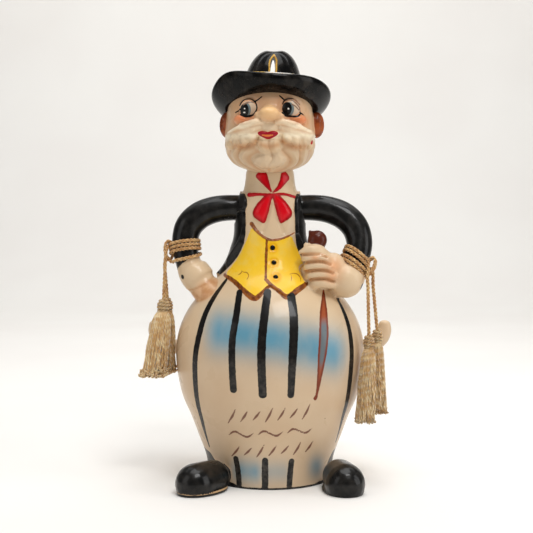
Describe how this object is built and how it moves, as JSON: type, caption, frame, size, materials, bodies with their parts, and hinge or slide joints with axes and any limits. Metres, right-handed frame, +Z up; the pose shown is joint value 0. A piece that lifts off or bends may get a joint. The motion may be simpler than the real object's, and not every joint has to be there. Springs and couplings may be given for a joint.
{
  "type": "figural decanter",
  "caption": "Glazed earthenware decanter shaped as a stout bearded gentleman in a hat, whose head lifts off as the stopper, with gold tasselled cords.",
  "frame": {"origin": "on the flat underside, below the axis of the belly and neck", "axes": "+Z up from the underside to the hat, -Y the way the figure faces, +X towards the figure's left hand, which holds the cane"},
  "size_m": [0.1792, 0.1247, 0.2991],
  "materials": {
    "body": "hand-painted gloss glaze: cream, black, yellow, red and blue",
    "head_stopper": "hand-painted gloss glaze: flesh, cream beard, black hat",
    "cord": "twisted gold rayon cord",
    "tassel": "gold rayon fringe"
  },
  "bodies": {
    "root": {"body": "body", "head_stopper": "head_stopper", "left_cord_coil": "cord", "left_cord_tail_front": "cord", "left_cord_tail_back": "cord", "left_tassel_front": "tassel", "left_tassel_back": "tassel", "right_cord_coil": "cord", "right_cord_tail_front": "cord", "right_cord_tail_back": "cord", "right_tassel_front": "tassel", "right_tassel_back": "tassel"}
  },
  "joints": []
}
